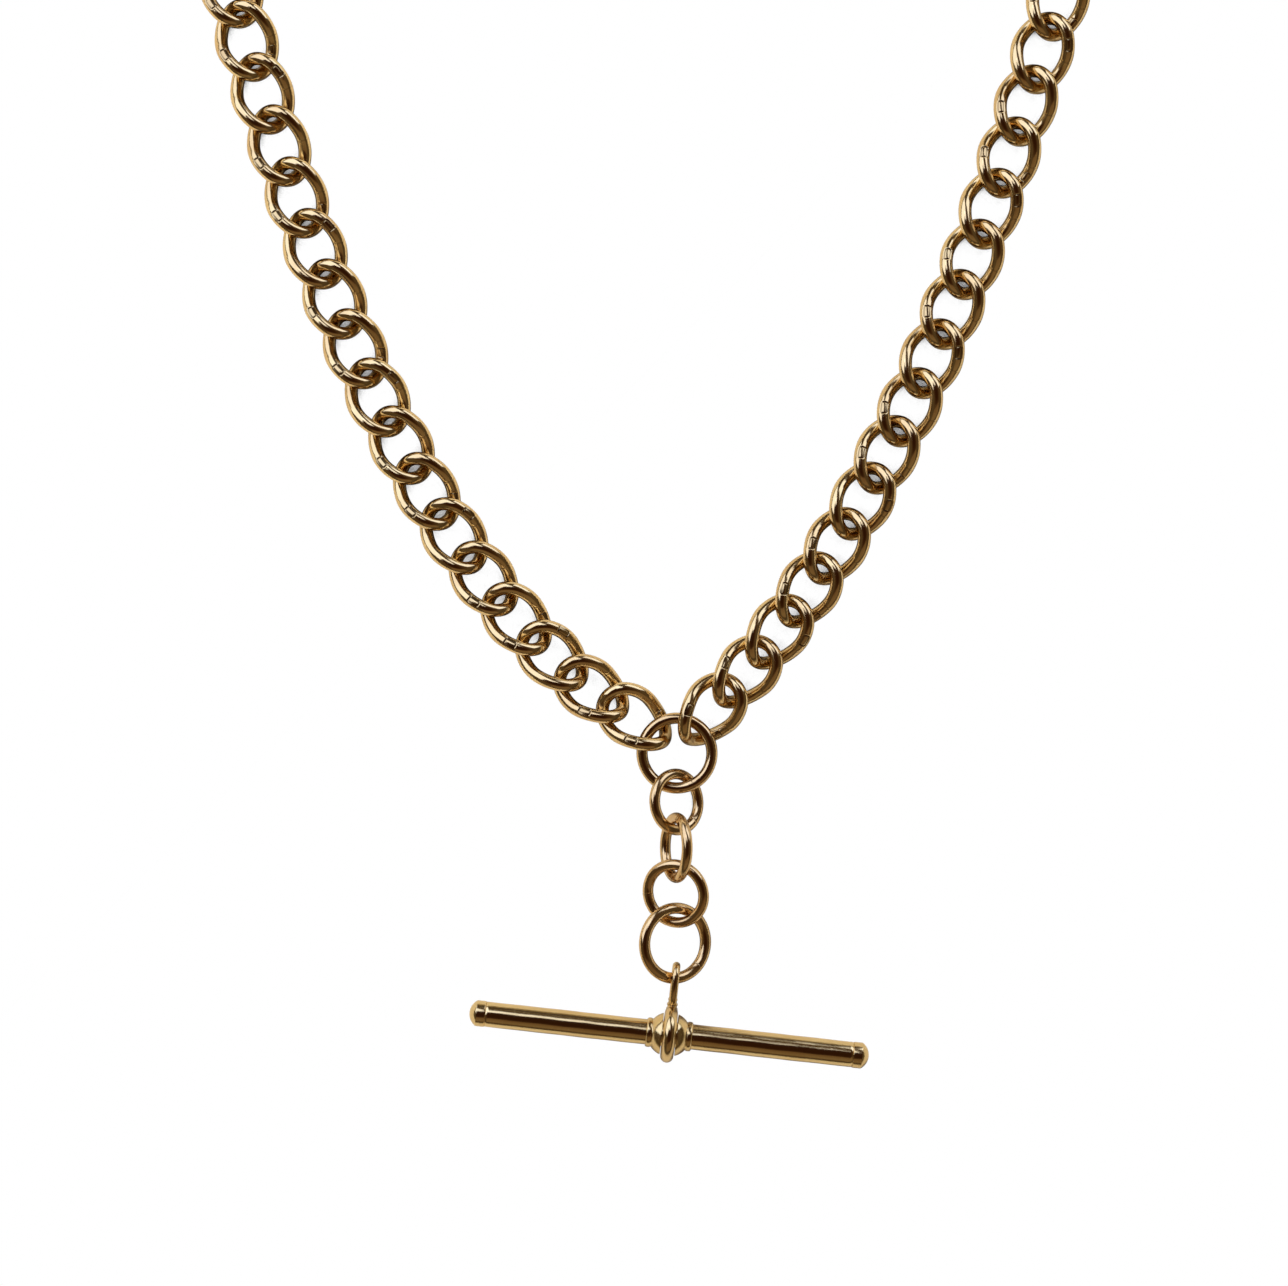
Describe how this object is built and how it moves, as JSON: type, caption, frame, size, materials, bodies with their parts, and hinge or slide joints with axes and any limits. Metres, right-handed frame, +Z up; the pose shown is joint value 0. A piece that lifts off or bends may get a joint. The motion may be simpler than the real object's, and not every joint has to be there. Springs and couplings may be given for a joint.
{
  "type": "pocket watch chain",
  "caption": "Double Albert watch chain: two curb link arms with swivel clips meet at a centre ring, with a drop of plain rings and a T-bar.",
  "frame": {"origin": "under the middle of the chain as it is laid out, on the table it lies on", "axes": "+Z up from the table, +Y from the T-bar towards the clips, +X to the right with the clips pointing away"},
  "size_m": [0.0938, 0.1218, 0.0058],
  "materials": {
    "gold": "polished, worn",
    "steel": "satin"
  },
  "bodies": {
    "centre_ring": {"centre_ring": "gold"},
    "left_link_01": {"left_link_01": "gold"},
    "left_link_02": {"left_link_02": "gold"},
    "left_link_03": {"left_link_03": "gold"},
    "left_link_04": {"left_link_04": "gold"},
    "left_link_05": {"left_link_05": "gold"},
    "left_link_06": {"left_link_06": "gold"},
    "left_link_07": {"left_link_07": "gold"},
    "left_link_08": {"left_link_08": "gold"},
    "left_link_09": {"left_link_09": "gold"},
    "left_link_10": {"left_link_10": "gold"},
    "left_link_11": {"left_link_11": "gold"},
    "left_link_12": {"left_link_12": "gold"},
    "left_link_13": {"left_link_13": "gold"},
    "left_link_14": {"left_link_14": "gold"},
    "left_link_15": {"left_link_15": "gold"},
    "left_link_16": {"left_link_16": "gold"},
    "left_link_17": {"left_link_17": "gold"},
    "left_link_18": {"left_link_18": "gold"},
    "left_end_ring": {"left_end_ring": "gold"},
    "left_swivel": {"left_swivel": "gold"},
    "left_clip": {"left_clip_body": "gold", "left_lever_pin": "gold", "left_lever_spring": "steel"},
    "left_lever": {"left_clip_lever": "gold"},
    "right_link_01": {"right_link_01": "gold"},
    "right_link_02": {"right_link_02": "gold"},
    "right_link_03": {"right_link_03": "gold"},
    "right_link_04": {"right_link_04": "gold"},
    "right_link_05": {"right_link_05": "gold"},
    "right_link_06": {"right_link_06": "gold"},
    "right_link_07": {"right_link_07": "gold"},
    "right_link_08": {"right_link_08": "gold"},
    "right_link_09": {"right_link_09": "gold"},
    "right_link_10": {"right_link_10": "gold"},
    "right_link_11": {"right_link_11": "gold"},
    "right_link_12": {"right_link_12": "gold"},
    "right_link_13": {"right_link_13": "gold"},
    "right_link_14": {"right_link_14": "gold"},
    "right_link_15": {"right_link_15": "gold"},
    "right_link_16": {"right_link_16": "gold"},
    "right_link_17": {"right_link_17": "gold"},
    "right_end_ring": {"right_end_ring": "gold"},
    "right_swivel": {"right_swivel": "gold"},
    "right_clip": {"right_clip_body": "gold", "right_lever_pin": "gold", "right_lever_spring": "steel"},
    "right_lever": {"right_clip_lever": "gold"},
    "drop_ring_1": {"drop_ring_1": "gold"},
    "drop_ring_2": {"drop_ring_2": "gold"},
    "drop_ring_3": {"drop_ring_3": "gold"},
    "drop_ring_4": {"drop_ring_4": "gold"},
    "shackle": {"shackle": "gold"},
    "t_bar": {"bar_tube": "gold", "bar_cap_left": "gold", "bar_cap_right": "gold", "bar_collar_left": "gold", "bar_collar_right": "gold"}
  },
  "joints": [
    {"name": "left_arm_spread", "type": "hinge", "parent": "centre_ring", "child": "left_link_01", "pos_m": [0.00268, -0.03343, 0.00185], "axis": [0, 0, 1], "range_deg": [-11, 36]},
    {"name": "left_link_02_fold", "type": "hinge", "parent": "left_link_01", "child": "left_link_02", "pos_m": [-0.00283, -0.0292, 0.0018], "axis": [0.5485, 0.8361, 0], "range_deg": [-25, 7]},
    {"name": "left_link_03_bend", "type": "hinge", "parent": "left_link_02", "child": "left_link_03", "pos_m": [-0.00642, -0.02651, 0.00172], "axis": [0, 0, -1], "range_deg": [-15, 15]},
    {"name": "left_link_04_fold", "type": "hinge", "parent": "left_link_03", "child": "left_link_04", "pos_m": [-0.00971, -0.02342, 0.00165], "axis": [-0.7208, -0.6931, 0], "range_deg": [-25, 22]},
    {"name": "left_link_05_bend", "type": "hinge", "parent": "left_link_04", "child": "left_link_05", "pos_m": [-0.01271, -0.02002, 0.00157], "axis": [0, 0, 1], "range_deg": [-15, 15]},
    {"name": "left_link_06_fold", "type": "hinge", "parent": "left_link_05", "child": "left_link_06", "pos_m": [-0.01547, -0.01638, 0.00149], "axis": [0.8184, 0.5747, 0], "range_deg": [-24, 25]},
    {"name": "left_link_07_bend", "type": "hinge", "parent": "left_link_06", "child": "left_link_07", "pos_m": [-0.01799, -0.01255, 0.00142], "axis": [0, 0, -1], "range_deg": [-15, 15]},
    {"name": "left_link_08_fold", "type": "hinge", "parent": "left_link_07", "child": "left_link_08", "pos_m": [-0.02033, -0.00856, 0.00135], "axis": [-0.8751, -0.484, 0], "range_deg": [-25, 25]},
    {"name": "left_link_09_bend", "type": "hinge", "parent": "left_link_08", "child": "left_link_09", "pos_m": [-0.02249, -0.00446, 0.00133], "axis": [0, 0, 1], "range_deg": [-15, 15]},
    {"name": "left_link_10_fold", "type": "hinge", "parent": "left_link_09", "child": "left_link_10", "pos_m": [-0.0245, -0.00025, 0.00133], "axis": [0.9098, 0.4151, 0], "range_deg": [-25, 25]},
    {"name": "left_link_11_bend", "type": "hinge", "parent": "left_link_10", "child": "left_link_11", "pos_m": [-0.02638, 0.00405, 0.00133], "axis": [0, 0, -1], "range_deg": [-15, 15]},
    {"name": "left_link_12_fold", "type": "hinge", "parent": "left_link_11", "child": "left_link_12", "pos_m": [-0.02815, 0.00843, 0.00133], "axis": [-0.9322, -0.3619, 0], "range_deg": [-25, 25]},
    {"name": "left_link_13_bend", "type": "hinge", "parent": "left_link_12", "child": "left_link_13", "pos_m": [-0.02981, 0.01287, 0.00133], "axis": [0, 0, 1], "range_deg": [-15, 15]},
    {"name": "left_link_14_fold", "type": "hinge", "parent": "left_link_13", "child": "left_link_14", "pos_m": [-0.03138, 0.01737, 0.00133], "axis": [0.9474, 0.3201, 0], "range_deg": [-25, 25]},
    {"name": "left_link_15_bend", "type": "hinge", "parent": "left_link_14", "child": "left_link_15", "pos_m": [-0.03287, 0.02192, 0.00133], "axis": [0, 0, -1], "range_deg": [-15, 15]},
    {"name": "left_link_16_fold", "type": "hinge", "parent": "left_link_15", "child": "left_link_16", "pos_m": [-0.03429, 0.02653, 0.00133], "axis": [-0.9581, -0.2865, 0], "range_deg": [-25, 25]},
    {"name": "left_link_17_bend", "type": "hinge", "parent": "left_link_16", "child": "left_link_17", "pos_m": [-0.03565, 0.03118, 0.00133], "axis": [0, 0, 1], "range_deg": [-15, 15]},
    {"name": "left_link_18_fold", "type": "hinge", "parent": "left_link_17", "child": "left_link_18", "pos_m": [-0.03694, 0.03587, 0.00133], "axis": [0.9659, 0.2591, 0], "range_deg": [-25, 25]},
    {"name": "left_end_ring_swing", "type": "hinge", "parent": "left_link_18", "child": "left_end_ring", "pos_m": [-0.03836, 0.04124, 0.00133], "axis": [0.7174, 0.1877, 0.6709], "range_deg": [-23, 15]},
    {"name": "left_swivel_slide_round", "type": "hinge", "parent": "left_end_ring", "child": "left_swivel", "pos_m": [-0.03866, 0.04218, 0.00131], "axis": [0.3297, 0.0908, 0.9397], "range_deg": [-60, 60]},
    {"name": "left_clip_turn", "type": "hinge", "parent": "left_swivel", "child": "left_clip", "pos_m": [-0.03932, 0.04459, 0.00165], "axis": [-0.2656, 0.9641, 0], "continuous": true},
    {"name": "left_lever_press", "type": "hinge", "parent": "left_clip", "child": "left_lever", "pos_m": [-0.03923, 0.05177, 0.00165], "axis": [0, 0, 1], "range_deg": [0, 32], "stiffness_Nm_per_rad": 0.002, "springref_deg": -11.46, "deforming": ["left_lever_spring"]},
    {"name": "right_arm_spread", "type": "hinge", "parent": "centre_ring", "child": "right_link_01", "pos_m": [0.00268, -0.03343, 0.00185], "axis": [0, 0, -1], "range_deg": [-11, 32]},
    {"name": "right_link_02_fold", "type": "hinge", "parent": "right_link_01", "child": "right_link_02", "pos_m": [0.00715, -0.02808, 0.0018], "axis": [0.7356, -0.6774, 0], "range_deg": [-21, 25]},
    {"name": "right_link_03_bend", "type": "hinge", "parent": "right_link_02", "child": "right_link_03", "pos_m": [0.01008, -0.02467, 0.00172], "axis": [0, 0, 1], "range_deg": [-15, 15]},
    {"name": "right_link_04_fold", "type": "hinge", "parent": "right_link_03", "child": "right_link_04", "pos_m": [0.01279, -0.02107, 0.00165], "axis": [-0.8157, 0.5785, 0], "range_deg": [-25, 25]},
    {"name": "right_link_05_bend", "type": "hinge", "parent": "right_link_04", "child": "right_link_05", "pos_m": [0.01533, -0.0173, 0.00157], "axis": [0, 0, -1], "range_deg": [-15, 15]},
    {"name": "right_link_06_fold", "type": "hinge", "parent": "right_link_05", "child": "right_link_06", "pos_m": [0.01769, -0.01339, 0.00149], "axis": [0.8663, -0.4996, 0], "range_deg": [-25, 25]},
    {"name": "right_link_07_bend", "type": "hinge", "parent": "right_link_06", "child": "right_link_07", "pos_m": [0.01991, -0.00937, 0.00142], "axis": [0, 0, 1], "range_deg": [-15, 15]},
    {"name": "right_link_08_fold", "type": "hinge", "parent": "right_link_07", "child": "right_link_08", "pos_m": [0.022, -0.00525, 0.00135], "axis": [-0.8994, 0.437, 0], "range_deg": [-25, 25]},
    {"name": "right_link_09_bend", "type": "hinge", "parent": "right_link_08", "child": "right_link_09", "pos_m": [0.02397, -0.00105, 0.00133], "axis": [0, 0, -1], "range_deg": [-15, 15]},
    {"name": "right_link_10_fold", "type": "hinge", "parent": "right_link_09", "child": "right_link_10", "pos_m": [0.02583, 0.00323, 0.00133], "axis": [0.922, -0.3871, 0], "range_deg": [-25, 25]},
    {"name": "right_link_11_bend", "type": "hinge", "parent": "right_link_10", "child": "right_link_11", "pos_m": [0.02759, 0.00758, 0.00133], "axis": [0, 0, 1], "range_deg": [-15, 15]},
    {"name": "right_link_12_fold", "type": "hinge", "parent": "right_link_11", "child": "right_link_12", "pos_m": [0.02927, 0.01198, 0.00133], "axis": [-0.938, 0.3466, 0], "range_deg": [-25, 25]},
    {"name": "right_link_13_bend", "type": "hinge", "parent": "right_link_12", "child": "right_link_13", "pos_m": [0.03088, 0.01645, 0.00133], "axis": [0, 0, -1], "range_deg": [-15, 15]},
    {"name": "right_link_14_fold", "type": "hinge", "parent": "right_link_13", "child": "right_link_14", "pos_m": [0.03241, 0.02096, 0.00133], "axis": [0.9496, -0.3134, 0], "range_deg": [-25, 25]},
    {"name": "right_link_15_bend", "type": "hinge", "parent": "right_link_14", "child": "right_link_15", "pos_m": [0.03388, 0.02552, 0.00133], "axis": [0, 0, 1], "range_deg": [-15, 15]},
    {"name": "right_link_16_fold", "type": "hinge", "parent": "right_link_15", "child": "right_link_16", "pos_m": [0.03528, 0.03013, 0.00133], "axis": [-0.9583, 0.2857, 0], "range_deg": [-25, 25]},
    {"name": "right_link_17_bend", "type": "hinge", "parent": "right_link_16", "child": "right_link_17", "pos_m": [0.03664, 0.03478, 0.00133], "axis": [0, 0, -1], "range_deg": [-15, 15]},
    {"name": "right_end_ring_swing", "type": "hinge", "parent": "right_link_17", "child": "right_end_ring", "pos_m": [0.03814, 0.04012, 0.00133], "axis": [0.7144, -0.1987, 0.6709], "range_deg": [-19, 18]},
    {"name": "right_swivel_slide_round", "type": "hinge", "parent": "right_end_ring", "child": "right_swivel", "pos_m": [0.03845, 0.04105, 0.00131], "axis": [0.3284, -0.0956, 0.9397], "range_deg": [-60, 60]},
    {"name": "right_clip_turn", "type": "hinge", "parent": "right_swivel", "child": "right_clip", "pos_m": [0.03915, 0.04345, 0.00165], "axis": [0.2796, 0.9601, 0], "continuous": true},
    {"name": "right_lever_press", "type": "hinge", "parent": "right_clip", "child": "right_lever", "pos_m": [0.043, 0.04952, 0.00165], "axis": [0, 0, 1], "range_deg": [0, 32], "stiffness_Nm_per_rad": 0.002, "springref_deg": -11.46, "deforming": ["right_lever_spring"]},
    {"name": "drop_ring_1_slide_round", "type": "hinge", "parent": "centre_ring", "child": "drop_ring_1", "pos_m": [0.00268, -0.03343, 0.00185], "axis": [0, 0, 1], "range_deg": [-25, 25]},
    {"name": "drop_ring_2_swing", "type": "hinge", "parent": "drop_ring_1", "child": "drop_ring_2", "pos_m": [0.00278, -0.04013, 0.00222], "axis": [0.7771, 0, -0.6293], "range_deg": [-60, 60]},
    {"name": "drop_ring_3_swing", "type": "hinge", "parent": "drop_ring_2", "child": "drop_ring_3", "pos_m": [0.00256, -0.04423, 0.0029], "axis": [0.3584, 0, 0.9336], "range_deg": [-8, 60]},
    {"name": "drop_ring_4_slide_round", "type": "hinge", "parent": "drop_ring_3", "child": "drop_ring_4", "pos_m": [0.00256, -0.04567, 0.00223], "axis": [-0.3683, -0.1822, 0.9117], "range_deg": [-40, 40]},
    {"name": "shackle_swing", "type": "hinge", "parent": "drop_ring_4", "child": "shackle", "pos_m": [0.00252, -0.05306, 0.00205], "axis": [0.8746, 0, -0.4848], "range_deg": [-75, 75]},
    {"name": "t_bar_spin", "type": "hinge", "parent": "shackle", "child": "t_bar", "pos_m": [0.00199, -0.05791, 0.00248], "axis": [0.994, -0.1097, 0], "continuous": true}
  ]
}
